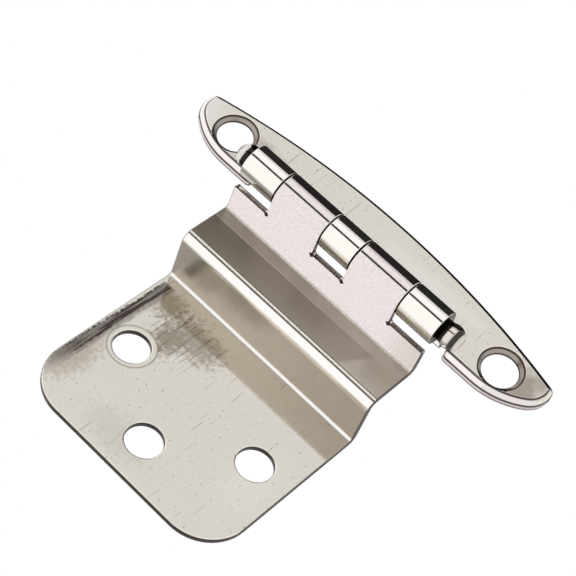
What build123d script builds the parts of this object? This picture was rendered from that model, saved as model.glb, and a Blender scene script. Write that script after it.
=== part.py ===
from build123d import *
import os
from math import acos, degrees, radians, sin, sqrt

# Semi-concealed cabinet hinge for a door with a 3/8 inch lip, in millimetres.
# A curved frame wing is screwed to the front of the cabinet frame. A stepped door leaf goes
# round the door's lip and is screwed to the back of the door. Both are pressed from sheet and
# rolled into the knuckles of one barrel, and a headed pin runs through the barrel.
#
# Every piece is first drawn in the hinge frame: the pin's axis is Z, the wing lies towards +X,
# the door leaf towards -X, and the exposed side of the closed hinge faces -Y.

# Sheet metal
SHEET = 1.05
SHARP_BEND = 0.5            # inside radius of the tight bends
LIP_BEND = 1.9              # outside radius of the bend over the door lip's edge
INNER_CORNER = 0.5          # radius in the corners beside the knuckles

# Barrel and pin
BARREL_LENGTH = 38.1
MIDDLE_KNUCKLE = 5.9
LEAF_KNUCKLE = 9.5
KNUCKLE_GAP = 0.1           # axial gap between two knuckles
ROLL_SEAM = 0.25            # gap between a rolled edge and its own strap
NOTCH_CLEARANCE = 0.9       # from the barrel's lowest level to the notched sheet edge
PIN_DIAMETER = 3.6
PIN_CLEARANCE = 0.05        # radial
PIN_HEAD_OVERHANG = 0.15    # radius of a pin head beyond the bore's
PIN_HEAD_SEAT = 0.02        # gap between the upper pin head and the bore's mouth
PIN_AXIAL_PLAY = 0.95       # free travel left at the lower pin head

# Door leaf
PIN_HEIGHT = 9.4            # from the cabinet frame's face to the pin's axis
LIP_OVERLAP = 9.525
LIP_THICKNESS = 9.525
DOOR_TAB = 30.8             # screwed part, from the step to its free edge
TAB_CORNER = 7.5
DOOR_HOLE_DIAMETER = 5.8
DOOR_HOLE_SPACING = 25.4
NEAR_HOLE_ROW = 14.4        # from the step's front to the pair of holes
FAR_HOLE_ROW = 24.3         # from the step's front to the single hole
REST_OPENING = 7.5          # degrees that the leaf stands open from closed

# Frame wing
WING_LENGTH = 71.2
WING_WIDTH = 12.75
FAR_EDGE_RADIUS = 143.0
SHOULDER_RADIUS = 13.0
SHOULDER_TURN = 40.0        # degrees
TIP_RADIUS = 4.6
TIP_ROUNDING = 1.3
TRAY_HEIGHT = 2.0
BEVEL = 0.93
RIM_LAND = 0.5              # flat foot of the rim on the cabinet frame
POCKET_BEVEL = 0.75         # slope of the hollow behind the plate
RIM_END_GAP = 0.95          # from the barrel's end to the cut end of the rim
RIM_END_ROUNDING = 0.8
FRAME_SCREW_SPACING = 55.2
FRAME_SCREW_OFFSET = 6.55   # from the pin's axis to the line of screws
FRAME_HOLE_DIAMETER = 5.8
COUNTERSINK_DIAMETER = 7.4
COUNTERSINK_DEPTH = 0.8

# Sizes that follow from those above
BORE_RADIUS = PIN_DIAMETER / 2 + PIN_CLEARANCE
BARREL_RADIUS = BORE_RADIUS + SHEET
NOTCH_LEVEL = BARREL_RADIUS + NOTCH_CLEARANCE
HALF_BARREL = BARREL_LENGTH / 2
INNER_JOINT = MIDDLE_KNUCKLE / 2
OUTER_JOINT = INNER_JOINT + LEAF_KNUCKLE
HALF_GAP = KNUCKLE_GAP / 2
LIP_LEVEL = PIN_HEIGHT - SHEET
STEP_FACE = -BARREL_RADIUS - LIP_OVERLAP
TAB_LEVEL = LIP_LEVEL + LIP_THICKNESS
TAB_END = STEP_FACE - DOOR_TAB
PLATE_LEVEL = PIN_HEIGHT - TRAY_HEIGHT
POCKET_DEPTH = TRAY_HEIGHT - SHEET
RIM_END = HALF_BARREL + RIM_END_GAP


def band(face, low, high):
    """Extrude a profile of the XY plane from one level along the pin to another."""
    return extrude(Pos(0, 0, low) * face, high - low, dir=(0, 0, 1))


def sheet_profile(front, front_radii, back, back_radii):
    """Closed section of a folded sheet between its front and back surfaces."""
    front_line = FilletPolyline(*front, radius=front_radii)
    back_line = FilletPolyline(*back, radius=back_radii)
    near_end = Line(front[0], back[0])
    far_end = Line(front[-1], back[-1])
    return make_face([front_line, far_end, back_line, near_end])


def knuckle_profile(strap_end):
    """Section of a rolled knuckle whose strap leaves the barrel on the -X side."""
    roll_end = degrees(acos(-(BORE_RADIUS - ROLL_SEAM) / BARREL_RADIUS))
    sweep = 180.0 + roll_end
    outer = CenterArc((0, 0), BARREL_RADIUS, 180.0, sweep)
    inner = CenterArc((0, 0), BORE_RADIUS, 180.0, sweep)
    seam = Line(outer @ 1, inner @ 1)
    strap = Polyline(
        (-BORE_RADIUS, 0),
        (-BORE_RADIUS, strap_end),
        (-BARREL_RADIUS, strap_end),
        (-BARREL_RADIUS, 0),
    )
    return make_face([outer, seam, inner, strap])


def round_inner_corners(solid, joints):
    """Round the corners where the straps of the knuckles meet the notched sheet edge."""
    corners = []
    for edge in solid.edges().filter_by(Axis.X):
        middle = edge.center()
        at_notch = abs(middle.Y - NOTCH_LEVEL) < HALF_GAP
        at_joint = any(abs(abs(middle.Z) - joint) < HALF_GAP / 2 for joint in joints)
        if at_notch and at_joint:
            corners.append(edge)
    return fillet(corners, INNER_CORNER)


def leaf_section():
    """Section of the closed door leaf below its knuckles."""
    front = [
        (-BARREL_RADIUS, NOTCH_LEVEL),
        (-BARREL_RADIUS, LIP_LEVEL),
        (STEP_FACE, LIP_LEVEL),
        (STEP_FACE, TAB_LEVEL),
        (TAB_END, TAB_LEVEL),
    ]
    back = [
        (-BORE_RADIUS, NOTCH_LEVEL),
        (-BORE_RADIUS, PIN_HEIGHT),
        (STEP_FACE + SHEET, PIN_HEIGHT),
        (STEP_FACE + SHEET, TAB_LEVEL + SHEET),
        (TAB_END, TAB_LEVEL + SHEET),
    ]
    front_radii = [SHARP_BEND, LIP_BEND, SHARP_BEND]
    back_radii = [SHARP_BEND + SHEET, LIP_BEND - SHEET, SHARP_BEND + SHEET]
    return sheet_profile(front, front_radii, back, back_radii)


def leaf_hole_places():
    """Centres of the door screw holes as pairs of X and Z."""
    near_row = STEP_FACE - NEAR_HOLE_ROW
    far_row = STEP_FACE - FAR_HOLE_ROW
    half = DOOR_HOLE_SPACING / 2
    return [(near_row, half), (near_row, -half), (far_row, 0.0)]


def door_leaf():
    """Stepped leaf with two knuckles, a rounded tab and three screw holes."""
    leaf = band(leaf_section(), -HALF_BARREL, HALF_BARREL)
    inner = INNER_JOINT + HALF_GAP
    outer = OUTER_JOINT - HALF_GAP
    knuckle = knuckle_profile(NOTCH_LEVEL + SHEET)
    leaf += band(knuckle, inner, outer)
    leaf += band(knuckle, -outer, -inner)
    leaf = round_inner_corners(leaf, (inner, outer))
    tab_corners = [edge for edge in leaf.edges().filter_by(Axis.Y) if edge.center().X < TAB_END + SHEET]
    leaf = fillet(tab_corners, TAB_CORNER)
    for x, z in leaf_hole_places():
        hole = Cylinder(DOOR_HOLE_DIAMETER / 2, 3 * SHEET)
        leaf -= Pos(x, TAB_LEVEL + SHEET / 2, z) * Rot(90, 0, 0) * hole
    return leaf


def wing_outline():
    """Plan of the frame wing: X away from the pin, Y along it."""
    turn = radians(SHOULDER_TURN)
    straight = WING_LENGTH / 2 - SHOULDER_RADIUS * sin(turn) - TIP_RADIUS * (1.0 - sin(turn))
    near_edge = Line((BORE_RADIUS, 0), (BORE_RADIUS, straight))
    shoulder = JernArc(near_edge @ 1, near_edge % 1, SHOULDER_RADIUS, -SHOULDER_TURN)
    tip = JernArc(shoulder @ 1, shoulder % 1, TIP_RADIUS, SHOULDER_TURN - 180.0)
    beyond = BORE_RADIUS + 2 * WING_WIDTH
    closing = Polyline(tip @ 1, (beyond, (tip @ 1).Y), (beyond, 0), near_edge @ 0)
    half = make_face([near_edge, shoulder, tip, closing])
    far_centre = BORE_RADIUS + WING_WIDTH - FAR_EDGE_RADIUS
    half &= Pos(far_centre, 0) * Circle(FAR_EDGE_RADIUS)
    point = half.vertices().sort_by_distance((BORE_RADIUS + WING_WIDTH, WING_LENGTH / 2))[0]
    half = fillet(point, TIP_ROUNDING)
    return half + mirror(half, Plane.XZ)


def wing_tray():
    """Shallow pressed tray with a bevelled rim, open where the riser leaves it."""
    plan = wing_outline()
    tray = extrude(plan, TRAY_HEIGHT)
    tray = chamfer(tray.faces().sort_by(Axis.Z)[-1].edges(), BEVEL)
    pocket = extrude(offset(plan, -RIM_LAND), POCKET_DEPTH)
    tray -= chamfer(pocket.faces().sort_by(Axis.Z)[-1].edges(), POCKET_BEVEL)
    bend_width = BARREL_RADIUS + SHARP_BEND - BORE_RADIUS
    gap = Box(2 * bend_width, 2 * RIM_END, 4 * TRAY_HEIGHT)
    tray -= Pos(BORE_RADIUS, 0, 0) * gap
    rim_ends = [
        edge
        for edge in tray.edges().filter_by(Axis.Z)
        if abs(abs(edge.center().Y) - RIM_END) < HALF_GAP and edge.center().X < BORE_RADIUS + HALF_GAP
    ]
    tray = fillet(rim_ends, RIM_END_ROUNDING)
    for along in (-FRAME_SCREW_SPACING / 2, FRAME_SCREW_SPACING / 2):
        bore = Cylinder(FRAME_HOLE_DIAMETER / 2, 4 * TRAY_HEIGHT)
        sink = Cone(
            FRAME_HOLE_DIAMETER / 2,
            COUNTERSINK_DIAMETER / 2,
            COUNTERSINK_DEPTH,
            align=(Align.CENTER, Align.CENTER, Align.MAX),
        )
        tray -= Pos(FRAME_SCREW_OFFSET, along, 0) * bore
        tray -= Pos(FRAME_SCREW_OFFSET, along, TRAY_HEIGHT) * sink
    return Pos(0, PIN_HEIGHT, 0) * Rot(90, 0, 0) * tray


def riser_section():
    """Section of the bend and riser between the wing's plate and its knuckles."""
    inside_plate = BARREL_RADIUS + SHARP_BEND + SHEET
    front = [
        (BARREL_RADIUS, NOTCH_LEVEL),
        (BARREL_RADIUS, PLATE_LEVEL),
        (inside_plate, PLATE_LEVEL),
    ]
    back = [
        (BORE_RADIUS, NOTCH_LEVEL),
        (BORE_RADIUS, PLATE_LEVEL + SHEET),
        (inside_plate, PLATE_LEVEL + SHEET),
    ]
    return sheet_profile(front, SHARP_BEND, back, SHARP_BEND + SHEET)


def frame_wing():
    """Curved wing with a riser, three knuckles and two countersunk screw holes."""
    wing = wing_tray() + band(riser_section(), -HALF_BARREL, HALF_BARREL)
    inner = INNER_JOINT - HALF_GAP
    outer = OUTER_JOINT + HALF_GAP
    knuckle = mirror(knuckle_profile(NOTCH_LEVEL + SHEET), Plane.YZ)
    for low, high in ((-HALF_BARREL, -outer), (-inner, inner), (outer, HALF_BARREL)):
        wing += band(knuckle, low, high)
    return round_inner_corners(wing, (inner, outer))


def hinge_pin():
    """Pin with a round head at each end, hanging by its upper head."""
    head_radius = BORE_RADIUS + PIN_HEAD_OVERHANG
    seat = sqrt(head_radius**2 - BORE_RADIUS**2) + PIN_HEAD_SEAT
    top = HALF_BARREL + seat
    bottom = -HALF_BARREL - seat - PIN_AXIAL_PLAY
    shank = Cylinder(PIN_DIAMETER / 2, top - bottom)
    pin = Pos(0, 0, (top + bottom) / 2) * shank
    for level in (top, bottom):
        pin += Pos(0, 0, level) * Sphere(head_radius)
    return pin


def main():
    """Place the pieces at rest and write one file for each.

    The row's origin lies on the cabinet frame's face, midway between the wing's two screws.
    """
    to_row = Pos(-FRAME_SCREW_OFFSET, -PIN_HEIGHT, 0)
    pieces = {
        "frame_wing": to_row * frame_wing(),
        "door_leaf": to_row * Rot(0, 0, REST_OPENING) * door_leaf(),
        "hinge_pin": to_row * hinge_pin(),
    }
    os.makedirs("parts", exist_ok=True)
    for name, piece in pieces.items():
        export_step(piece, f"parts/{name}.step")


main()
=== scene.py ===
import logging
import math
from collections.abc import Callable, Iterator
from dataclasses import dataclass
from enum import Enum
from functools import reduce

import bmesh
import bpy
from mathutils import Matrix, Vector


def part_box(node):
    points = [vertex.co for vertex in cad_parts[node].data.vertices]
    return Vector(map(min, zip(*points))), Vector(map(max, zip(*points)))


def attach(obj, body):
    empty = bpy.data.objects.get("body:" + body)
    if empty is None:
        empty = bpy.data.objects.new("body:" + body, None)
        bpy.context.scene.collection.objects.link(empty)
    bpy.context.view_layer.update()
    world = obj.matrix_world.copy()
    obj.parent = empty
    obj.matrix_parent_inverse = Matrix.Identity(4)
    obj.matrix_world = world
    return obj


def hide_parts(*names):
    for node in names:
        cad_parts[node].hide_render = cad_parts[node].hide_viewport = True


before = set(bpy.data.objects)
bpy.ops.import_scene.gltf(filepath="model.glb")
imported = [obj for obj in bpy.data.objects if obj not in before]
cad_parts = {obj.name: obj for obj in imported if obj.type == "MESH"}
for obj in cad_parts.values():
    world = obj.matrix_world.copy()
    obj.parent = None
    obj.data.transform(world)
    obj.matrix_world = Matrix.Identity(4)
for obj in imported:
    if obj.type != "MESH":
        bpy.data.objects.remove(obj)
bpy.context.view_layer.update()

LOG = logging.getLogger("hinge")
Pair = tuple[float, float]
Triple = tuple[float, float, float]
Band = tuple[float, float, float, float]
Colour = Triple
Piece = bpy.types.Object
Socket = bpy.types.NodeSocket
Layer = tuple[Socket, object]

MM = 0.001
PIN_HEIGHT = 9.4  # from the cabinet frame's face to the pin's axis
SCREW_OFFSET = 6.55  # from the pin's axis to the wing's line of screws
SCREW_LEVEL = 27.6  # from the wing's middle to each screw
REST_OPENING = 7.5  # turn of the leaf at rest, in degrees
NEAR = 0.01  # lengths that differ by less are the same
IN_PLANE = 0.003  # a face this near to a level lies in it
WELD = 0.001  # points nearer than this are joined
ALONG = 0.9  # a direction or normal that is nearly along an axis
FACING = 0.5  # a normal that points to an axis rather than from it
ACROSS = 0.1  # a direction that is nearly across an axis
HOLE_FACETS = 72
SHARP_ANGLE = 38.0  # degrees between faces from which an edge is rounded
EDGE_STEPS = 4
SMOOTH_ANGLE = 35.0


class Body(Enum):
    """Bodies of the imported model."""

    WING = "wing"
    LEAF = "leaf"


class Slot(Enum):
    """Material slots of the record."""

    WING = "wing_plating"
    LEAF = "leaf_plating"
    PIN = "pin_plating"


class Graph:
    """A material's node graph, with short calls for the nodes that the finishes use."""

    def __init__(self, name: str) -> None:
        """Start a material.

        Args:
            name: The material's name.
        """
        self.material = bpy.data.materials.new(name)
        self.material.use_nodes = True
        self.tree = self.material.node_tree
        self.shader = self.tree.nodes["Principled BSDF"]

    def node(self, kind: str, **settings: object) -> bpy.types.Node:
        """Add a node.

        Args:
            kind: The node's type name.
            settings: Properties to set on it.

        Returns:
            The new node.
        """
        made = self.tree.nodes.new(kind)
        for name, value in settings.items():
            setattr(made, name, value)
        return made

    def feed(self, socket: Socket, source: object) -> None:
        """Give a socket a value or another node's output.

        Args:
            socket: The input to set.
            source: A value or an output.
        """
        if isinstance(source, Socket):
            self.tree.links.new(source, socket)
        else:
            socket.default_value = source

    def mapped(self, source: Socket, move: Triple, turn: Triple, scale: Triple) -> Socket:
        """Coordinates stretched, then turned, then moved.

        Args:
            source: The coordinates.
            move: Shift.
            turn: Turn about X, Y and Z in degrees.
            scale: Stretch.

        Returns:
            The new coordinates.
        """
        made = self.node("ShaderNodeMapping")
        angles = [math.radians(angle) for angle in turn]
        for place, value in enumerate((source, move, angles, scale)):
            self.feed(made.inputs[place], value)
        return made.outputs[0]

    def parts(self, where: Socket) -> tuple[Socket, ...]:
        """Split a place or a direction.

        Args:
            where: The place or direction.

        Returns:
            Its three parts.
        """
        made = self.node("ShaderNodeSeparateXYZ")
        self.feed(made.inputs[0], where)
        return tuple(made.outputs)

    def math(self, operation: str, *values: object) -> Socket:
        """One step of arithmetic.

        Args:
            operation: Name of the operation.
            values: Its values or outputs.

        Returns:
            The result's output.
        """
        made = self.node("ShaderNodeMath", operation=operation)
        for place, value in enumerate(values):
            self.feed(made.inputs[place], value)
        return made.outputs[0]

    def product(self, *values: object) -> Socket:
        """Multiply values or outputs."""
        return reduce(lambda first, second: self.math("MULTIPLY", first, second), values)

    def total(self, *values: object) -> Socket:
        """Add values or outputs."""
        return reduce(lambda first, second: self.math("ADD", first, second), values)

    def length(self, across: Socket, along: Socket) -> Socket:
        """Length of a vector from its two parts."""
        square = self.total(self.product(across, across), self.product(along, along))
        return self.math("SQRT", square)

    def noise(self, where: Socket, scale: float, detail: float = 3.0) -> Socket:
        """Fractal noise.

        Args:
            where: Coordinates.
            scale: Cells per unit.
            detail: Octaves.

        Returns:
            The noise, about 0.5 in the mean.
        """
        made = self.node("ShaderNodeTexNoise")
        self.feed(made.inputs["Vector"], where)
        self.feed(made.inputs["Scale"], scale)
        self.feed(made.inputs["Detail"], detail)
        return made.outputs["Fac"]

    def ramp(self, value: Socket, over: Pair, to: Pair = (0.0, 1.0)) -> Socket:
        """Map a range onto another, held at its ends.

        Args:
            value: The input.
            over: Start and end of the input's range.
            to: Output at its start and at its end.

        Returns:
            The mapped value.
        """
        made = self.node("ShaderNodeMapRange")
        for place, number in enumerate((value, *over, *to)):
            self.feed(made.inputs[place], number)
        return made.outputs[0]

    def window(self, value: Socket, band: Pair | Band) -> Socket:
        """A band that rises over one range and, with four numbers, falls over another.

        Args:
            value: The input.
            band: Where it starts and is full, then where it starts to fall and ends.

        Returns:
            1 in the band and 0 outside it.
        """
        rise = self.ramp(value, band[:2])
        return self.product(rise, self.ramp(value, band[2:], (1.0, 0.0))) if band[2:] else rise

    def mix(self, amount: object, first: object, second: object) -> Socket:
        """Blend two colours.

        Args:
            amount: Share of the second colour.
            first: First colour or output.
            second: Second colour or output.

        Returns:
            The blended colour.
        """
        made = self.node("ShaderNodeMix", data_type="RGBA")
        self.feed(made.inputs["Factor"], amount)
        for socket, colour in ((made.inputs[6], first), (made.inputs[7], second)):
            self.feed(socket, colour if isinstance(colour, Socket) else (*colour, 1.0))
        return made.outputs[2]


class Surface(Graph):
    """A finish's graph, laid out in millimetres about the pin's axis with the piece closed."""

    def __init__(self, name: str, opening: float) -> None:
        """Start a finish.

        Args:
            name: The material's name.
            opening: Turn of the piece about the pin at rest, in degrees.
        """
        super().__init__(name)
        axis = Matrix.Rotation(math.radians(-opening), 2) @ Vector((-SCREW_OFFSET, -PIN_HEIGHT))
        found = self.node("ShaderNodeTexCoord").outputs
        self.where = self.mapped(
            found["Object"], (-axis.x, -axis.y, 0), (0, 0, -opening), (1 / MM,) * 3)
        self.x, self.y, self.z = self.parts(self.where)
        self.facing = self.parts(found["Normal"])

    def zone(self, **bands: Pair | Band) -> Socket:
        """A zone of the piece.

        Args:
            bands: Its band along each axis that bounds it.

        Returns:
            1 in the zone and 0 outside it.
        """
        return self.product(*(self.window(getattr(self, axis), bands[axis]) for axis in bands))


class Pick(Enum):
    """What an edit selects."""

    VERTICES = "VERT"
    EDGES = "EDGE"
    FACES = "FACE"


def choose(kind: Pick, test: Callable[[Vector, Vector], bool]) -> None:
    """Select the parts of the edited mesh that pass a test.

    Args:
        kind: Vertices, edges or faces.
        test: Takes the middle and the direction, which is a normal or an edge's own direction.
    """
    bpy.ops.mesh.select_mode(type=kind.value)
    bpy.ops.mesh.select_all(action="DESELECT")
    shape = bmesh.from_edit_mesh(bpy.context.edit_object.data)
    shape.normal_update()
    if kind is Pick.VERTICES:
        found = [vert for vert in shape.verts if test(vert.co, vert.normal)]
    elif kind is Pick.EDGES:
        found = []
        for edge in shape.edges:
            first, last = (vert.co for vert in edge.verts)
            if test((first + last) / 2, (last - first).normalized()):
                found.append(edge)
    else:
        found = [face for face in shape.faces if test(face.calc_center_median(), face.normal)]
    for part in found:
        part.select_set(True)
    shape.select_flush_mode()
    bmesh.update_edit_mesh(bpy.context.edit_object.data)


def choose_all() -> None:
    """Select the whole edited mesh."""
    bpy.ops.mesh.select_all(action="SELECT")


def near(value: float, target: float, within: float = NEAR) -> bool:
    """Whether two lengths in millimetres agree."""
    return abs(value - target) < within


def activate(piece: Piece) -> None:
    """Make a piece the active one and the only one selected.

    Args:
        piece: The piece.
    """
    bpy.ops.object.select_all(action="DESELECT")
    piece.select_set(True)
    bpy.context.view_layer.objects.active = piece


def edit(on: bool) -> None:
    """Enter or leave edit mode."""
    bpy.ops.object.mode_set(mode="EDIT" if on else "OBJECT")


def settle(piece: Piece) -> None:
    """Put a piece's place, turn and scale into its mesh."""
    activate(piece)
    bpy.ops.object.transform_apply(location=True, rotation=True, scale=True)


def give_slots(piece: Piece) -> None:
    """Give a piece its two places for a finish: the polished faces and the sheared edges."""
    while len(piece.data.materials) < 2:
        piece.data.materials.append(None)


def start_plane(name: str, centre: Triple, size: Pair, turn: Triple = (0, 0, 0)) -> Piece:
    """Add a rectangle.

    Args:
        name: The piece's name.
        centre: Its middle.
        size: Its two sides.
        turn: Turn about X, Y and Z in degrees.

    Returns:
        The rectangle, ready to be edited.
    """
    bpy.ops.object.select_all(action="DESELECT")
    bpy.ops.mesh.primitive_plane_add(size=1.0)
    piece = bpy.context.object
    piece.name = name
    piece.scale = (*size, 1.0)
    piece.rotation_euler = [math.radians(angle) for angle in turn]
    piece.location = centre
    settle(piece)
    give_slots(piece)
    return piece


def pull(step: Triple) -> None:
    """Extrude the selection by a step."""
    bpy.ops.mesh.extrude_region_move(TRANSFORM_OT_translate={"value": step})


def roll(angle: float, steps: int, centre: Triple = (0, 0, 0)) -> None:
    """Carry the selection along an arc about Z.

    Args:
        angle: Turn in degrees, anticlockwise seen from +Z; without a window, spin turns back.
        steps: Facets of the arc.
        centre: A point of the axis.
    """
    bpy.ops.mesh.spin(steps=steps, angle=-math.radians(angle), center=centre, axis=(0, 0, 1))


def round_edges(radius: float, steps: int = 5) -> None:
    """Round the selected right-angled edges."""
    bpy.ops.mesh.bevel(offset=radius, offset_type="OFFSET", segments=steps, profile=0.5,
                       affect="EDGES", clamp_overlap=False)


def apply_modifier(piece: Piece, kind: str, **settings: object) -> None:
    """Add a modifier and apply it.

    Args:
        piece: The piece that gets it.
        kind: The modifier's type.
        settings: Properties to set on it.
    """
    activate(piece)
    modifier = piece.modifiers.new(kind.lower(), kind)
    for name, value in settings.items():
        setattr(modifier, name, value)
    bpy.ops.object.modifier_apply(modifier=modifier.name)


def combine(piece: Piece, other: Piece, operation: str, sheared: bool = False) -> None:
    """Cut one piece with another or join them into one solid.

    Args:
        piece: The piece that stays.
        other: The piece that is used up.
        operation: DIFFERENCE or UNION.
        sheared: Whether the cut leaves sheared faces.
    """
    give_slots(other)
    if sheared:
        other.data.polygons.foreach_set("material_index", [1] * len(other.data.polygons))
    apply_modifier(piece, "BOOLEAN", operation=operation, object=other, solver="EXACT",
                   material_mode="INDEX")
    bpy.data.objects.remove(other)


def thicken(piece: Piece, sheet: float, level: float) -> None:
    """Turn a surface into sheet that lies behind it.

    Args:
        piece: The surface.
        sheet: The sheet's thickness.
        level: Where it has flat faces that look forwards, towards -Y.
    """
    edit(True)
    choose_all()
    bpy.ops.mesh.normals_make_consistent(inside=False)
    choose(Pick.FACES, lambda middle, normal: near(middle.y, level) and normal.y > FACING)
    if piece.data.count_selected_items()[2] > 0:
        choose_all()
        bpy.ops.mesh.flip_normals()
    edit(False)
    apply_modifier(piece, "SOLIDIFY", thickness=sheet, offset=-1.0, use_even_offset=True,
                   use_quality_normals=True, material_offset_rim=1)


def soften(piece: Piece, radius: float) -> None:
    """Round every sharp edge a little and keep the flats flat.

    Args:
        piece: The piece.
        radius: Radius of its edges.
    """
    apply_modifier(piece, "BEVEL", width=radius, segments=EDGE_STEPS, limit_method="ANGLE",
                   angle_limit=math.radians(SHARP_ANGLE), use_clamp_overlap=False)
    bpy.ops.object.shade_smooth()
    apply_modifier(piece, "WEIGHTED_NORMAL", weight=100, keep_sharp=False)


@dataclass
class Sheet:
    """Sizes that both pressed pieces share, in millimetres, about the pin's axis as Z."""

    sheet: float = 1.05
    sharp_bend: float = 0.5
    inner_corner: float = 0.5
    bore_radius: float = 1.85
    notch_level: float = 3.8
    half_barrel: float = 19.05
    inner_joint: float = 2.95
    outer_joint: float = 12.45
    half_gap: float = 0.08
    roll_seam: float = 0.25
    edge_radius: float = 0.25
    roll_steps: int = 60
    corner_steps: int = 4

    @property
    def barrel_radius(self) -> float:
        """Outer radius of the barrel."""
        return self.bore_radius + self.sheet

    @property
    def roll_sweep(self) -> float:
        """Turn of a rolled knuckle in degrees."""
        seam = math.acos(-(self.bore_radius - self.roll_seam) / self.barrel_radius)
        return 180.0 + math.degrees(seam)

    def cut_across(self, x: float, levels: tuple[float, ...]) -> None:
        """Divide the flat strip at one distance from the pin.

        Args:
            x: The strip's place.
            levels: Where it is divided along the pin.
        """
        for level in levels:
            choose(Pick.FACES, lambda middle, normal: near(middle.x, x))
            bpy.ops.mesh.bisect(plane_co=(0, 0, level), plane_no=(0, 0, 1))

    def roll_knuckles(self, side: float, inside: Callable[[float], bool]) -> None:
        """Raise the straps from the notched edge and roll them into knuckles.

        Args:
            side: +1 for straps on the +X side of the pin, -1 for the other.
            inside: Whether a distance from the barrel's middle lies in a knuckle.
        """
        choose(Pick.EDGES, lambda middle, along: near(middle.y, self.notch_level)
               and near(abs(along.z), 1.0) and inside(abs(middle.z)))
        pull((0, -self.notch_level, 0))
        roll(-side * self.roll_sweep, self.roll_steps)

    def round_notches(self, levels: Pair) -> None:
        """Round the corners where the straps meet the notched edge.

        Args:
            levels: Distances of the joints from the barrel's middle.
        """
        edit(True)
        choose(Pick.EDGES, lambda middle, along: near(middle.y, self.notch_level)
               and near(abs(along.x), 1.0) and any(near(abs(middle.z), level) for level in levels))
        round_edges(self.inner_corner, self.corner_steps)
        edit(False)

    def to_row(self, piece: Piece, opening: float = 0.0) -> None:
        """Move a piece from the hinge frame in millimetres to its place in the row frame.

        Args:
            piece: The piece.
            opening: Turn about the pin in degrees.
        """
        piece.rotation_euler = (0, 0, math.radians(opening))
        piece.scale = (MM, MM, MM)
        piece.location = (-SCREW_OFFSET * MM, -PIN_HEIGHT * MM, 0)
        settle(piece)


@dataclass
class DoorLeaf(Sheet):
    """Stepped door leaf with two knuckles, a rounded tab and three screw holes."""

    lip_overlap: float = 9.525
    lip_thickness: float = 9.525
    lip_bend: float = 1.9
    lip_bend_steps: int = 8
    bend_steps: int = 5
    tab: float = 30.8
    tab_corner: float = 7.5
    tab_corner_steps: int = 16
    hole_radius: float = 2.9
    hole_spacing: float = 25.4
    near_row: float = 14.4
    far_row: float = 24.3

    @property
    def lip_level(self) -> float:
        """Front of the strip over the door's lip."""
        return PIN_HEIGHT - self.sheet

    @property
    def step_face(self) -> float:
        """Outer face of the step."""
        return -self.barrel_radius - self.lip_overlap

    @property
    def tab_level(self) -> float:
        """Front of the screwed tab."""
        return self.lip_level + self.lip_thickness

    @property
    def tab_end(self) -> float:
        """Free edge of the tab."""
        return self.step_face - self.tab

    def fold(self) -> Piece:
        """Fold the sheet's front from the barrel to the tab and round its bends.

        Returns:
            The surface, in edit mode.
        """
        rise = self.lip_level - self.notch_level
        centre = (-self.barrel_radius, self.notch_level + rise / 2, 0)
        leaf = start_plane("leaf_shell", centre, (2 * self.half_barrel, rise), (0, 90, 0))
        edit(True)
        choose(Pick.EDGES, lambda middle, along: near(middle.y, self.lip_level)
               and near(abs(along.z), 1.0))
        for step in ((-self.lip_overlap, 0, 0), (0, self.lip_thickness, 0), (-self.tab, 0, 0)):
            pull(step)
        for x, y, radius, steps in (
            (self.step_face, self.lip_level, self.lip_bend, self.lip_bend_steps),
            (-self.barrel_radius, self.lip_level, self.sharp_bend, self.bend_steps),
            (self.step_face, self.tab_level, self.sharp_bend, self.bend_steps),
        ):
            choose(Pick.EDGES, lambda middle, along: near(abs(along.z), 1.0)
                   and near(middle.x, x) and near(middle.y, y))
            round_edges(radius, steps)
        choose(Pick.VERTICES, lambda place, normal: near(place.x, self.tab_end)
               and near(abs(place.z), self.half_barrel))
        bpy.ops.mesh.bevel(offset=self.tab_corner, segments=self.tab_corner_steps, profile=0.5,
                           affect="VERTICES", clamp_overlap=False)
        return leaf

    def build(self) -> Piece:
        """Model the leaf.

        Returns:
            The leaf at rest in the row frame.
        """
        leaf = self.fold()
        inner, outer = self.inner_joint + self.half_gap, self.outer_joint - self.half_gap
        self.cut_across(-self.barrel_radius, (-outer, -inner, inner, outer))
        self.roll_knuckles(-1.0, lambda level: inner < level < outer)
        pair = self.hole_spacing / 2
        for level in (-pair, 0.0, pair):
            choose(Pick.FACES, lambda middle, normal: near(middle.y, self.tab_level, IN_PLANE))
            bpy.ops.mesh.bisect(plane_co=(0, 0, level), plane_no=(0, 0, 1))
        edit(False)
        thicken(leaf, self.sheet, self.tab_level)
        self.round_notches((inner, outer))
        for row, level in ((self.near_row, pair), (self.near_row, -pair), (self.far_row, 0.0)):
            bpy.ops.mesh.primitive_cylinder_add(
                vertices=HOLE_FACETS, radius=self.hole_radius, depth=6 * self.sheet,
                rotation=(math.pi / 2, 0, 0),
                location=(self.step_face - row, self.tab_level + self.sheet / 2, level))
            combine(leaf, bpy.context.object, "DIFFERENCE", sheared=True)
        soften(leaf, self.edge_radius)
        self.to_row(leaf, REST_OPENING)
        return leaf


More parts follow.
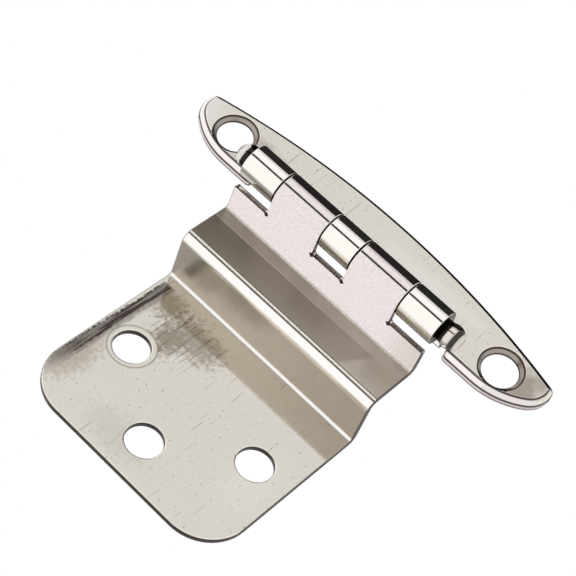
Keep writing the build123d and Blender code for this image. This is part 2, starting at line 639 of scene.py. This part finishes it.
@dataclass
class FrameWing(Sheet):
    """Curved wing with a bevelled rim, a riser, three knuckles and two countersunk holes."""

    length: float = 71.2
    width: float = 12.75
    far_radius: float = 143.0
    far_steps: int = 24
    shoulder_radius: float = 13.0
    shoulder_turn: float = 40.0
    shoulder_steps: int = 10
    tip_radius: float = 4.6
    tip_steps: int = 24
    tip_rounding: float = 1.3
    tip_rounding_steps: int = 10
    tray_height: float = 2.0
    bevel: float = 0.93
    rim_land: float = 0.5
    pocket_bevel: float = 0.75
    rim_end_gap: float = 0.95
    rim_end_rounding: float = 0.8
    hole_radius: float = 2.9
    sink_radius: float = 3.7
    sink_depth: float = 0.8
    edge_radius: float = 0.14

    @property
    def plate_level(self) -> float:
        """Front of the wing's plate."""
        return PIN_HEIGHT - self.tray_height

    def outline(self) -> Piece:
        """Draw the wing's outline in plan: X away from the pin, Y along it.

        Returns:
            The flat wing, in edit mode.
        """
        turn = math.radians(self.shoulder_turn)
        straight = (self.length / 2 - self.shoulder_radius * math.sin(turn)
                    - self.tip_radius * (1 - math.sin(turn)))
        shoulder = Vector((self.bore_radius + self.shoulder_radius, straight))
        tip_offset = self.shoulder_radius - self.tip_radius
        tip = shoulder + tip_offset * Vector((-math.cos(turn), math.sin(turn)))
        far = Vector((self.bore_radius + self.width - self.far_radius, 0.0))
        reach = self.far_radius - self.tip_rounding
        gap, ahead = (tip - far).length, (tip - far).normalized()
        along = (reach**2 - (self.tip_radius - self.tip_rounding)**2 + gap**2) / (2 * gap)
        aside = math.sqrt(reach**2 - along**2) * Vector((-ahead.y, ahead.x))
        corner = far + along * ahead + aside
        at_tip, at_far = (math.degrees(math.atan2(corner.y - middle.y, corner.x - middle.x))
                          for middle in (tip, far))
        flat = start_plane("wing_shell", (self.bore_radius, 0, 0), (1.0, 1.0))
        edit(True)
        bpy.ops.mesh.select_mode(type=Pick.VERTICES.value)
        choose_all()
        bpy.ops.mesh.merge(type="CENTER")
        pull((0, straight, 0))
        roll(-self.shoulder_turn, self.shoulder_steps, (*shoulder, 0))
        roll(at_tip - (180.0 - self.shoulder_turn), self.tip_steps, (*tip, 0))
        roll(at_far - at_tip, self.tip_rounding_steps, (*corner, 0))
        roll(-at_far, self.far_steps, (*far, 0))
        edit(False)
        apply_modifier(flat, "MIRROR", use_axis=(False, True, False), merge_threshold=WELD)
        edit(True)
        choose_all()
        bpy.ops.mesh.edge_face_add()
        for level in (-SCREW_LEVEL, SCREW_LEVEL):
            choose_all()
            bpy.ops.mesh.bisect(plane_co=(0, level, 0), plane_no=(0, 1, 0))
        choose_all()
        return flat

    def sink_holes(self, tray: Piece) -> None:
        """Cut the two countersunk screw holes.

        Args:
            tray: The wing, lying with its plate at the tray's height.
        """
        for level in (-SCREW_LEVEL, SCREW_LEVEL):
            bpy.ops.mesh.primitive_cylinder_add(
                vertices=HOLE_FACETS, radius=self.hole_radius, depth=4 * self.tray_height,
                location=(SCREW_OFFSET, level, 0))
            combine(tray, bpy.context.object, "DIFFERENCE", sheared=True)
            bpy.ops.mesh.primitive_cone_add(
                vertices=HOLE_FACETS, radius1=self.hole_radius,
                radius2=2 * self.sink_radius - self.hole_radius,
                depth=2 * self.sink_depth, location=(SCREW_OFFSET, level, self.tray_height))
            combine(tray, bpy.context.object, "DIFFERENCE", sheared=True)

    def tray(self) -> Piece:
        """Raise the outline into a hollow tray with a bevelled rim.

        Returns:
            The tray in the hinge frame.
        """
        tray = self.outline()
        pull((0, 0, self.tray_height - self.bevel))
        choose_all()
        bpy.ops.mesh.normals_make_consistent(inside=False)
        choose(Pick.FACES, lambda middle, normal: normal.z > ALONG)
        bpy.ops.mesh.inset(thickness=self.bevel, depth=self.bevel)
        choose(Pick.FACES, lambda middle, normal: normal.z < -ALONG)
        bpy.ops.mesh.inset(thickness=self.rim_land)
        pull((0, 0, self.tray_height - self.sheet - self.pocket_bevel))
        bpy.ops.mesh.inset(thickness=self.pocket_bevel, depth=-self.pocket_bevel)
        edit(False)
        rim_end = self.half_barrel + self.rim_end_gap
        bend = self.barrel_radius + self.sharp_bend - self.bore_radius
        bpy.ops.mesh.primitive_cube_add(size=1.0, location=(self.bore_radius, 0, 0),
                                        scale=(2 * bend, 2 * rim_end, 4 * self.tray_height))
        combine(tray, bpy.context.object, "DIFFERENCE", sheared=True)
        edit(True)
        choose(Pick.EDGES, lambda middle, along: near(middle.x, self.bore_radius)
               and near(abs(middle.y), rim_end) and near(abs(along.z), 1.0))
        round_edges(self.rim_end_rounding)
        edit(False)
        self.sink_holes(tray)
        tray.rotation_euler = (math.pi / 2, 0, 0)
        tray.location = (0, PIN_HEIGHT, 0)
        settle(tray)
        return tray

    def riser(self) -> Piece:
        """Fold the strip that rises from the plate to the barrel and roll its knuckles.

        Returns:
            The riser in the hinge frame.
        """
        flat = self.sharp_bend + self.sheet
        centre = (self.barrel_radius + flat / 2, self.plate_level, 0)
        riser = start_plane("riser", centre, (flat, 2 * self.half_barrel), (90, 0, 0))
        edit(True)
        inner, outer = self.inner_joint - self.half_gap, self.outer_joint + self.half_gap
        choose(Pick.EDGES, lambda middle, along: near(middle.x, self.barrel_radius))
        pull((0, self.notch_level - self.plate_level, 0))
        choose(Pick.EDGES, lambda middle, along: near(abs(along.z), 1.0)
               and near(middle.x, self.barrel_radius) and near(middle.y, self.plate_level))
        round_edges(self.sharp_bend)
        self.cut_across(self.barrel_radius, (-outer, -inner, inner, outer))
        self.roll_knuckles(1.0, lambda level: level < inner or level > outer)
        edit(False)
        thicken(riser, self.sheet, self.plate_level)
        self.round_notches((inner, outer))
        return riser

    def build(self) -> Piece:
        """Model the wing.

        Returns:
            The wing in the row frame.
        """
        wing = self.tray()
        combine(wing, self.riser(), "UNION")
        soften(wing, self.edge_radius)
        self.to_row(wing)
        return wing


@dataclass
class HingePin(Sheet):
    """Pin with a round head at each end, hanging by its upper head."""

    radius: float = 1.8
    head_overhang: float = 0.15
    head_seat: float = 0.02
    axial_play: float = 0.95
    head_segments: int = 48
    head_rings: int = 32

    def build(self) -> Piece:
        """Model the pin.

        Returns:
            The pin in the row frame.
        """
        head = self.bore_radius + self.head_overhang
        seat = math.sqrt(head**2 - self.bore_radius**2) + self.head_seat
        top = self.half_barrel + seat
        bottom = -self.half_barrel - seat - self.axial_play
        bpy.ops.object.select_all(action="DESELECT")
        bpy.ops.mesh.primitive_uv_sphere_add(
            segments=self.head_segments, ring_count=self.head_rings, radius=head,
            location=(0, 0, (top - bottom) / 2))
        pin = bpy.context.object
        pin.name = "pin_shank"
        give_slots(pin)
        settle(pin)
        neck = (top - bottom) / 2 - math.sqrt(head**2 - self.radius**2)
        edit(True)
        choose_all()
        bpy.ops.mesh.bisect(plane_co=(0, 0, neck), plane_no=(0, 0, 1), clear_inner=True)
        choose(Pick.EDGES, lambda middle, along: near(middle.z, neck) and abs(along.z) < ACROSS)
        pull((0, 0, -neck))
        edit(False)
        apply_modifier(pin, "MIRROR", use_axis=(False, False, True), merge_threshold=WELD)
        edit(True)
        choose_all()
        bpy.ops.mesh.normals_make_consistent(inside=False)
        edit(False)
        bpy.ops.object.shade_smooth_by_angle(angle=math.radians(SMOOTH_ANGLE))
        pin.location = (0, 0, (top + bottom) / 2)
        settle(pin)
        self.to_row(pin)
        return pin


@dataclass(frozen=True)
class Patch:
    """An oval patch of a finish in the plane of the sheet, in millimetres."""

    centre: Pair
    size: Pair
    shade: Colour
    amount: float = 1.0
    soft: float = 0.6

    def layer(self, graph: Surface, mask: Socket, ragged: object = 0.0) -> Layer:
        """The patch as a layer of a finish.

        Args:
            graph: The finish's graph.
            mask: Where the patch shows.
            ragged: What is added to the distance from its middle.

        Returns:
            Its amount and its colour.
        """
        across, along = (
            graph.math("DIVIDE", graph.math("SUBTRACT", value, centre), size)
            for value, centre, size in zip((graph.x, graph.z), self.centre, self.size))
        distance = graph.total(graph.length(across, along), ragged)
        cover = graph.ramp(distance, (1.0 - self.soft, 1.0), (self.amount, 0.0))
        return graph.product(cover, mask), self.shade


@dataclass(frozen=True)
class Plating:
    """Warm bright plating with small stains, fine scratches and a slightly uneven polish."""

    name: str
    opening: float = 0.0
    colour: Colour = (0.93, 0.88, 0.80)
    stain: Colour = (0.28, 0.235, 0.19)
    roughness: float = 0.07
    cloud_scale: float = 0.30
    cloud_range: Pair = (0.40, 0.70)
    cloud_dull: float = 0.05
    speck_scale: float = 1.9
    speck_range: Pair = (0.66, 0.72)
    speck_amount: float = 0.75
    scratch_sets: tuple[Pair, Pair] = ((38.0, 0.08), (-24.0, 0.06))
    scratch_stretch: Triple = (0.12, 1.0, 3.2)
    scratch_range: Pair = (0.80, 0.83)
    scratch_amount: float = 0.5
    scratch_dull: float = 0.08
    wave_scale: float = 0.16
    wave_height: float = 0.02
    grain_scale: float = 3.0
    grain_height: float = 0.0006

    def scratches(self, graph: Surface, turn: float, amount: float) -> Socket:
        """Fine straight scratches.

        Args:
            graph: The finish's graph.
            turn: Their direction in the sheet's plane, in degrees.
            amount: Share of the noise that becomes a scratch.

        Returns:
            1 on a scratch and 0 beside it.
        """
        where = graph.mapped(graph.where, (0, 0, 0), (0, turn, 0), self.scratch_stretch)
        start, full = self.scratch_range
        return graph.ramp(graph.noise(where, 1.0, 1.0), (start - amount, full - amount))

    def height(self, graph: Surface) -> Socket:
        """Height of the finish above the mesh in millimetres: a slow wave."""
        return graph.product(graph.noise(graph.where, self.wave_scale, 1.0), self.wave_height)

    def layers(self, graph: Surface) -> Iterator[Layer]:
        """Shading laid over the plating, from the lowest up; none unless a piece adds it."""
        yield from ()

    def matt(self, graph: Surface) -> object:
        """Roughness added in places; none unless a piece adds it."""
        return 0.0

    def material(self) -> bpy.types.Material:
        """Make the material.

        Returns:
            The finished material.
        """
        graph = Surface(self.name, self.opening)
        clouds = graph.ramp(graph.noise(graph.where, self.cloud_scale), self.cloud_range)
        specks = graph.ramp(graph.noise(graph.where, self.speck_scale, 2.0),
                            self.speck_range, (0.0, self.speck_amount))
        lines = graph.math("MAXIMUM", *(self.scratches(graph, *each) for each in self.scratch_sets))
        marks = graph.math("MAXIMUM", specks, graph.product(lines, self.scratch_amount))
        colour = graph.mix(marks, self.colour, self.stain)
        for amount, shade in self.layers(graph):
            colour = graph.mix(amount, colour, shade)
        grain = graph.product(graph.noise(graph.where, self.grain_scale, 2.0), self.grain_height)
        bump = graph.node("ShaderNodeBump")
        shader = graph.shader.inputs
        for socket, source in (
            (shader["Base Color"], colour),
            (shader["Roughness"], graph.total(
                graph.product(clouds, self.cloud_dull), self.roughness, self.matt(graph),
                graph.product(lines, self.scratch_dull))),
            (shader["Metallic"], 1.0),
            (shader["Normal"], bump.outputs[0]),
            (bump.inputs["Strength"], 1.0),
            (bump.inputs["Distance"], MM),
            (bump.inputs["Height"], graph.total(self.height(graph), grain)),
        ):
            graph.feed(socket, source)
        return graph.material


@dataclass(frozen=True)
class ShearedEdge(Plating):
    """Dull, dark sheared edges, partly painted shade for outlines; painted highlights in the
    notches; countersink wear.
    """

    # Partly the sheared steel's own dull tone and partly painted shade, dark enough that the edges
    # read as dark outlines.
    colour: Colour = (0.065, 0.053, 0.049)
    stain: Colour = (0.025, 0.02, 0.019)
    roughness: float = 0.30
    # Painted highlight along the notches' edges.
    notch_painted_highlight: Colour = (0.97, 0.93, 0.90)
    notch_x: Band = (2.08, 2.14, 2.62, 2.68)
    notch_y: Band = (3.5, 3.6, 3.95, 4.05)
    notch_facing: Pair = (-0.5, -0.7)
    notch_matt: float = -0.2
    sink: Colour = (0.42, 0.37, 0.335)
    sink_ring: Band = (2.98, 3.04, 3.42, 3.50)
    sink_y: Band = (7.1, 7.2, 8.3, 8.4)

    def notch_edge(self, graph: Surface) -> Socket:
        """Middle of the notches' edges.

        Args:
            graph: The finish's graph.

        Returns:
            1 there and 0 elsewhere.
        """
        middle = graph.window(graph.math("ABSOLUTE", graph.x), self.notch_x)
        below = graph.ramp(graph.facing[1], self.notch_facing)
        return graph.product(middle, graph.zone(y=self.notch_y), below)

    def matt(self, graph: Surface) -> object:
        """Smoother plating on the notches' edges."""
        return graph.product(self.notch_edge(graph), self.notch_matt)

    def layers(self, graph: Surface) -> Iterator[Layer]:
        """Wear in the countersinks and a painted highlight along the notches' edges.

        Args:
            graph: The finish's graph.

        Yields:
            The amount and the colour of each layer.
        """
        across = graph.math("SUBTRACT", graph.x, SCREW_OFFSET)
        along = graph.math("SUBTRACT", graph.math("ABSOLUTE", graph.z), SCREW_LEVEL)
        ring = graph.window(graph.length(across, along), self.sink_ring)
        yield graph.product(ring, graph.zone(y=self.sink_y)), self.sink
        # Painted highlight along the notches' edges.
        yield self.notch_edge(graph), self.notch_painted_highlight


@dataclass(frozen=True)
class LeafPlating(Plating):
    """Door leaf plating: painted reflection, shade, highlights and outlines; a rubbed tab with
    wear.
    """

    # Painted pinkish reflection on the wall, with its grain.
    painted_rosy_reflection: Colour = (0.87, 0.81, 0.785)
    painted_rosy_grain: Colour = (0.77, 0.70, 0.69)
    # Painted shade on the strip over the door's lip, and its painted highlight.
    strip_painted_shade_top: Colour = (0.27, 0.235, 0.19)
    strip_painted_shade_bottom: Colour = (0.48, 0.42, 0.35)
    strip_painted_highlight: Colour = (0.60, 0.545, 0.47)
    # Painted shade on the step wall.
    step_painted_shade_top: Colour = (0.50, 0.455, 0.39)
    step_painted_shade_bottom: Colour = (0.40, 0.355, 0.30)
    # Painted dark tone for outlines along the strip and the leaf's edges, and for the dark band on
    # the tab.
    painted_dark_tone: Colour = (0.085, 0.065, 0.06)
    # Darker brown for wear on the tab and for painted shade at the wall's -z end.
    wear_and_painted_shade: Colour = (0.42, 0.37, 0.29)
    scuff: Colour = (0.20, 0.17, 0.13)
    # Painted highlight on the two bends.
    painted_bend_highlight: Colour = (0.98, 0.97, 0.95)
    bright: Colour = (1.0, 0.96, 0.90)
    wall_x: Pair = (-3.4, -3.1)
    wall_grain: Pair = (0.42, 0.62)
    wall_painted_shade_z: Pair = (-12.5, -17.0)
    strip_x: Band = (-10.95, -10.85, -3.6, -3.3)
    strip_y: Pair = (9.0, 8.7)
    strip_z: Pair = (14.0, -16.0)
    strip_matt_x: Band = (-11.6, -11.0, -3.6, -3.3)
    strip_matt: float = 0.28
    light_x: Pair = (-5.6, -5.4)
    light_z: Pair = (0.0, -12.0)
    ridge_x: Band = (-5.75, -5.65, -5.55, -5.45)
    corner_slant: float = 0.55
    corner_z: Pair = (-16.6, -17.4)
    line_x: tuple[Band, Band] = (
        (-11.55, -11.45, -11.35, -11.25), (-10.98, -10.90, -10.80, -10.70))
    line_amount: float = 0.85
    step_x: Band = (-12.75, -12.55, -12.3, -11.9)
    step_y: Pair = (9.4, 10.4)
    step_z: Pair = (4.0, -16.0)
    step_matt: float = 0.20
    bends: tuple[tuple[Band, Band], ...] = (
        ((-12.7, -12.6, -11.65, -11.55), (8.3, 8.4, 9.4, 9.6)),
        ((-13.0, -12.9, -12.45, -12.40), (17.3, 17.35, 17.84, 17.87)))
    side_z: Pair = (18.84, 18.90)
    side_amount: float = 0.8
    tab_x: Pair = (-13.6, -14.0)
    tab_y: Band = (17.3, 17.6, 18.3, 18.6)
    patches: tuple[Patch, ...] = (
        Patch((-17.0, 14.2), (3.6, 3.2), wear_and_painted_shade, 0.75),
        Patch((-18.6, 7.5), (3.8, 6.6), wear_and_painted_shade, 0.8),
        Patch((-21.5, 10.4), (4.6, 3.4), wear_and_painted_shade, 0.95),
        Patch((-34.5, 16.6), (7.0, 3.2), wear_and_painted_shade, 0.55),
        Patch((-39.0, 3.0), (4.0, 8.0), wear_and_painted_shade, 0.18),
        Patch((-29.5, -14.5), (9.0, 5.5), bright, 0.6, 0.9),
        Patch((-15.6, -15.0), (3.5, 5.0), bright, 0.6, 0.9))
    rubbed: Patch = Patch((-20.5, 9.5), (6.5, 6.0), scuff, 0.6, 0.5)
    rub_marks: Pair = (12.0, 0.24)
    rings: tuple[Patch, ...] = (
        Patch((-26.8, 12.7), (4.0, 4.0), wear_and_painted_shade, soft=0.06),
        Patch((-26.8, 12.7), (3.8, 3.8), Plating.colour, soft=0.06))
    band_x: Band = (-43.0, -33.0, -14.5, -14.0)
    band_z: Band = (16.5, 17.6, 18.9, 19.2)
    band_slant: float = 0.03
    band_middle: float = -40.0
    band_marks: Pair = (4.0, 0.30)
    lean: float = 0.5
    lean_top: float = 8.0

    def on_step(self, graph: Surface) -> Socket:
        """The step's wall: 1 there and 0 elsewhere."""
        return graph.zone(x=self.step_x, y=self.step_y)

    def layers(self, graph: Surface) -> Iterator[Layer]:
        """Painted reflection, shade, highlights and dark outlines of each face, and the tab's wear
        and band.

        Args:
            graph: The finish's graph.

        Yields:
            The amount and the colour of each layer.
        """
        # Painted pinkish reflection on the wall, with painted shade towards its -z end.
        grain = graph.ramp(graph.noise(graph.where, 3.5, 2.0), self.wall_grain)
        wall = graph.mix(grain, self.painted_rosy_reflection, self.painted_rosy_grain)
        wear_and_painted_shade = graph.ramp(graph.z, self.wall_painted_shade_z, (0.0, 0.3))
        yield graph.zone(x=self.wall_x), graph.mix(wear_and_painted_shade, wall, self.wear_and_painted_shade)
        # Painted shade on the strip, darker towards +z, with painted highlight streaks.
        shade = graph.mix(graph.ramp(graph.z, self.strip_z), self.strip_painted_shade_top, self.strip_painted_shade_bottom)
        light = graph.product(graph.zone(x=self.light_x),
                              graph.ramp(graph.z, self.light_z, (0.5, 0.95)))
        slanted = graph.total(graph.product(graph.x, self.corner_slant), graph.z)
        for lit in (light, graph.zone(x=self.ridge_x), graph.ramp(slanted, self.corner_z)):
            shade = graph.mix(lit, shade, self.strip_painted_highlight)
        yield graph.zone(x=self.strip_x, y=self.strip_y), shade
        # Painted dark outlines along the strip's edges.
        for across in self.line_x:
            line = graph.zone(x=across, y=self.strip_y)
            yield graph.product(line, self.line_amount), self.painted_dark_tone
        # Painted shade on the step wall, darker towards -z.
        fade = graph.ramp(graph.z, self.step_z)
        yield self.on_step(graph), graph.mix(fade, self.step_painted_shade_top, self.step_painted_shade_bottom)
        # Painted highlights on the bends.
        for across, out in self.bends:
            yield graph.zone(x=across, y=out), self.painted_bend_highlight
        yield from self.tab_layers(graph)
        # Painted dark outlines along the leaf's two edges across the pin.
        edge = graph.math("ABSOLUTE", graph.z)
        yield graph.ramp(edge, self.side_z, (0.0, self.side_amount)), self.painted_dark_tone

    def tab_layers(self, graph: Surface) -> Iterator[Layer]:
        """Wear and lighter patches on the tab, rings round a hole and a painted dark band along the
        tab's edge.

        Args:
            graph: The finish's graph.

        Yields:
            The amount and the colour of each layer.
        """
        ragged = graph.ramp(graph.noise(graph.where, 1.5, 5.0), (0.3, 0.7), (-0.30, 0.30))
        tab = graph.zone(x=self.tab_x, y=self.tab_y)
        for patch in self.patches:
            yield patch.layer(graph, tab, ragged)
        marks = graph.product(self.scratches(graph, *self.rub_marks), tab)
        yield self.rubbed.layer(graph, marks, ragged)
        for ring in self.rings:
            yield ring.layer(graph, tab)
        # Painted dark band across the tab, streaked.
        slant = graph.product(graph.math("SUBTRACT", graph.x, self.band_middle), self.band_slant)
        uneven = graph.total(graph.z, slant, graph.product(ragged, 0.8))
        streaks = graph.ramp(self.scratches(graph, *self.band_marks), (0.0, 1.0), (1.0, 0.72))
        band = graph.product(graph.window(uneven, self.band_z), graph.zone(x=self.band_x))
        yield graph.product(band, streaks, tab), self.painted_dark_tone

    def matt(self, graph: Surface) -> object:
        """Matt strip over the door's lip and satin step wall."""
        strip = graph.product(graph.zone(x=self.strip_matt_x), self.strip_matt)
        return graph.total(strip, graph.product(self.on_step(graph), self.step_matt))

    def height(self, graph: Surface) -> Socket:
        """Hollow of the wall above the strip, which leans its reflection towards the front."""
        rise = graph.total(graph.math("MINIMUM", graph.y, self.lean_top), 1.0)
        return graph.product(graph.math("SMOOTH_MAX", rise, 0.0, 2.0), self.lean)


@dataclass(frozen=True)
class WingPlating(Plating):
    """Plating of the frame wing, with painted reflections on its bevels and painted highlights and
    shade on its knuckles.
    """

    # Painted pinkish reflection on the near bevel.
    painted_rosy_reflection: Colour = (0.95, 0.89, 0.88)
    # Painted dark tone for outlines along the rim.
    painted_dark_tone: Colour = (0.05, 0.035, 0.035)
    # Painted dark reflection on the far bevel.
    far_bevel_painted_reflection: Colour = (0.30, 0.26, 0.24)
    # Darker brown for wear on the plate and for painted shade beside the barrel and on the
    # knuckles' lower side.
    wear_and_painted_shade: Colour = (0.45, 0.40, 0.34)
    bright: Colour = (1.0, 0.96, 0.92)
    # Painted highlight on the knuckles.
    knuckle: Colour = (1.0, 0.97, 0.93)
    # Darker pinkish tone on the rim's side.
    side: Colour = (0.66, 0.58, 0.57)
    plate_y: Band = (7.1, 7.3, 7.6, 7.9)
    patches: tuple[Patch, ...] = (
        Patch((6.0, -32.0), (5.5, 4.2), wear_and_painted_shade, 0.9),
        Patch((5.5, 22.0), (4.5, 9.0), wear_and_painted_shade, 0.35),
        Patch((5.0, 8.0), (2.6, 12.0), wear_and_painted_shade, 0.25),
        Patch((9.5, -12.0), (2.2, 14.0), bright, 0.7),
        Patch((6.0, 33.5), (4.0, 3.5), bright, 0.9),
        Patch((7.4, 23.3), (2.8, 2.6), wear_and_painted_shade, 0.45))
    knuckle_y: Pair = (3.4, 3.0)
    knuckle_amount: float = 0.8
    under_x: Pair = (-1.0, -1.8)
    under_y: Band = (-1.3, -0.3, 3.0, 3.4)
    under_amount: float = 0.75
    outside_x: Pair = (1.0, 1.2)
    outside_facing: Pair = (0.5, 0.3)
    bevel_y: Pair = (7.46, 7.6)
    far_facing: Pair = (0.30, 0.50)
    near_facing: Pair = (-0.30, -0.50)
    side_y: Pair = (8.45, 8.6)
    line_y: tuple[Pair | Band, ...] = (
        (7.42, 7.44, 7.60, 7.66), (8.16, 8.22, 8.48, 8.56), (9.0, 9.12))
    line_amount: float = 0.92

    def layers(self, graph: Surface) -> Iterator[Layer]:
        """Plate patches, painted knuckle highlight and shade, painted bevel reflections, a darker
        side and outlines.

        Args:
            graph: The finish's graph.

        Yields:
            The amount and the colour of each layer.
        """
        ragged = graph.ramp(graph.noise(graph.where, 0.5, 4.0), (0.3, 0.7), (-0.25, 0.25))
        # Patches on the plate, darker and lighter; the long darker ones beside the barrel are
        # painted shade.
        plate = graph.zone(y=self.plate_y)
        for patch in self.patches:
            yield patch.layer(graph, plate, ragged)
        # Painted highlight on the knuckles.
        yield graph.product(graph.zone(y=self.knuckle_y), self.knuckle_amount), self.knuckle
        # Painted shade on the knuckles' lower side.
        painted_underside_shade = graph.zone(x=self.under_x, y=self.under_y)
        yield graph.product(painted_underside_shade, self.under_amount), self.wear_and_painted_shade
        # Painted reflections on the far and near bevels, and a darker tone on the rim's side.
        outward = graph.ramp(graph.facing[1], self.outside_facing)
        outside = graph.product(outward, graph.zone(x=self.outside_x))
        bevel = graph.product(graph.zone(y=self.bevel_y), outside)
        for facing, shade in ((self.far_facing, self.far_bevel_painted_reflection), (self.near_facing, self.painted_rosy_reflection)):
            yield graph.product(graph.ramp(graph.facing[0], facing), bevel), shade
        yield graph.product(graph.zone(y=self.side_y), bevel), self.side
        # Painted dark outlines along the rim's edges.
        for level in self.line_y:
            yield graph.product(graph.zone(y=level), outside, self.line_amount), self.painted_dark_tone


@dataclass(frozen=True)
class PinPlating(Plating):
    """Darker plating of the pin, with painted shade at its neck and a painted dark ring round each
    head.
    """

    colour: Colour = (0.79, 0.73, 0.68)
    # Painted shade for the neck beside the barrel's ends and for a dark ring round each head.
    pin_painted_shade: Colour = (0.03, 0.025, 0.023)
    neck_z: Pair = (20.35, 20.1)
    ring_z: Band = (21.2, 21.35, 22.0, 22.15)
    ring_amount: float = 0.95

    def layers(self, graph: Surface) -> Iterator[Layer]:
        """Painted shade at the neck and a painted dark ring round each head.

        Args:
            graph: The finish's graph.

        Yields:
            The amount and the colour of each layer.
        """
        height = graph.math("ABSOLUTE", graph.z)
        # Painted dark ring round each head and painted shade at the neck.
        yield graph.product(graph.window(height, self.ring_z), self.ring_amount), self.pin_painted_shade
        yield graph.ramp(height, self.neck_z), self.pin_painted_shade


@dataclass(frozen=True)
class Card:
    """A plain upright studio card that the plating reflects, facing the object.

    Its azimuth and the angle that it spreads over are in degrees, its lengths in metres.
    """

    name: str
    azimuth: float
    spread: float
    bottom: float
    top: float
    distance: float
    tone: float

    def finish(self) -> bpy.types.Material:
        """Make an even tone that glows by itself and reflects nothing.

        Returns:
            The card's material.
        """
        graph = Graph(self.name)
        for name, value in (
            ("Base Color", (0, 0, 0, 1)),
            ("Specular IOR Level", 0.0),
            ("Emission Color", (self.tone, self.tone, self.tone, 1)),
            ("Emission Strength", 1.0),
        ):
            graph.feed(graph.shader.inputs[name], value)
        return graph.material

    def build(self) -> None:
        """Add the card to the scene, for reflections alone."""
        angle = math.radians(self.azimuth)
        middle = (self.bottom + self.top) / 2
        place = (self.distance * math.cos(angle), self.distance * math.sin(angle), middle)
        bpy.ops.mesh.primitive_plane_add(size=1.0, location=place,
                                         rotation=(math.pi / 2, 0, angle + math.pi / 2))
        card = bpy.context.object
        card.name = self.name
        width = 2 * self.distance * math.tan(math.radians(self.spread / 2))
        card.scale = (width, self.top - self.bottom, 1.0)
        card.data.materials.append(self.finish())
        card.visible_camera = False
        card.visible_diffuse = False
        card.visible_shadow = False


@dataclass
class Studio:
    """Pale floor, soft light, cards and the camera of the photograph."""

    floor_level: float = -0.13
    floor_size: float = 6.0
    floor_tone: float = 0.86
    floor_roughness: float = 0.8
    camera_place: Triple = (-0.13940, -0.21025, -0.06558)
    camera_right: Triple = (0.6796, -0.1748, -0.7124)
    camera_up: Triple = (0.5409, -0.5367, 0.6476)
    camera_forward: Triple = (0.4956, 0.8255, 0.2701)
    lens: float = 107.25
    sensor: float = 36.0
    nearest: float = 0.01

    def floor(self) -> None:
        """Add the floor."""
        bpy.ops.mesh.primitive_plane_add(size=self.floor_size, location=(0, 0, self.floor_level))
        ground = bpy.context.object
        ground.name = "floor"
        graph = Graph("floor")
        tone = self.floor_tone
        graph.feed(graph.shader.inputs["Base Color"], (tone, tone, tone, 1))
        graph.feed(graph.shader.inputs["Roughness"], self.floor_roughness)
        ground.data.materials.append(graph.material)

    def cards(self) -> None:
        """Add the cards, dark and pale, round the object."""
        for card in (
            Card("card_right", -7.0, 75.0, -0.4, 0.5, 0.6, 0.02),
            Card("card_left", 147.0, 32.0, -0.4, 0.5, 0.6, 0.45),
            Card("card_pale", -52.0, 14.0, -0.3, 0.5, 0.6, 0.73),
            Card("card_behind", 60.0, 60.0, -0.4, 0.5, 0.7, 0.02),
            Card("card_front", -98.0, 12.0, -0.1, 0.5, 0.5, 0.05),
        ):
            card.build()

    def world(self) -> None:
        """Light the scene evenly from a white surround."""
        world = bpy.data.worlds.new("surround")
        bpy.context.scene.world = world
        world.use_nodes = True
        world.node_tree.nodes["Background"].inputs[0].default_value = (1, 1, 1, 1)

    def camera(self) -> None:
        """Set the camera where the photograph was taken from."""
        data = bpy.data.cameras.new("camera")
        camera = bpy.data.objects.new("camera", data)
        bpy.context.scene.collection.objects.link(camera)
        back = -Vector(self.camera_forward)
        turn = Matrix((self.camera_right, self.camera_up, back)).transposed()
        camera.matrix_world = Matrix.Translation(self.camera_place) @ turn.to_4x4()
        data.sensor_width = self.sensor
        data.lens = self.lens
        data.clip_start = self.nearest
        bpy.context.scene.camera = camera


def report(piece: Piece, node: str) -> None:
    """Log a piece's extent beside that of its node, in millimetres.

    Args:
        piece: The dressed piece.
        node: The node that it replaces.
    """
    low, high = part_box(node)
    corners = [piece.matrix_world @ Vector(corner) for corner in piece.bound_box]
    LOG.info("%s: %d faces", piece.name, len(piece.data.polygons))
    for axis, name in enumerate("XYZ"):
        values = [corner[axis] / MM for corner in corners]
        LOG.info("  %s: %.3f to %.3f, node %.3f to %.3f", name, min(values), max(values),
                 low[axis] / MM, high[axis] / MM)


def main() -> None:
    """Dress the nodes, set up the studio and log each piece."""
    logging.basicConfig(level=logging.INFO, format="%(message)s")
    leaf = LeafPlating("leaf_nickel", opening=REST_OPENING)
    for maker, node, body, slot, finish in (
        (DoorLeaf(), "door_leaf", Body.LEAF, Slot.LEAF, leaf),
        (FrameWing(), "frame_wing", Body.WING, Slot.WING, WingPlating("wing_nickel")),
        (HingePin(), "hinge_pin", Body.WING, Slot.PIN, PinPlating("pin_nickel")),
    ):
        piece = maker.build()
        piece.data.materials[0] = finish.material()
        piece.data.materials[1] = ShearedEdge(f"{node}_edge", opening=finish.opening).material()
        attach(piece, body.value)
        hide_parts(node)
        report(piece, node)
    studio = Studio()
    studio.floor()
    studio.cards()
    studio.world()
    studio.camera()
    bpy.context.scene.view_settings.view_transform = "Standard"


if __name__ == "__main__":
    main()
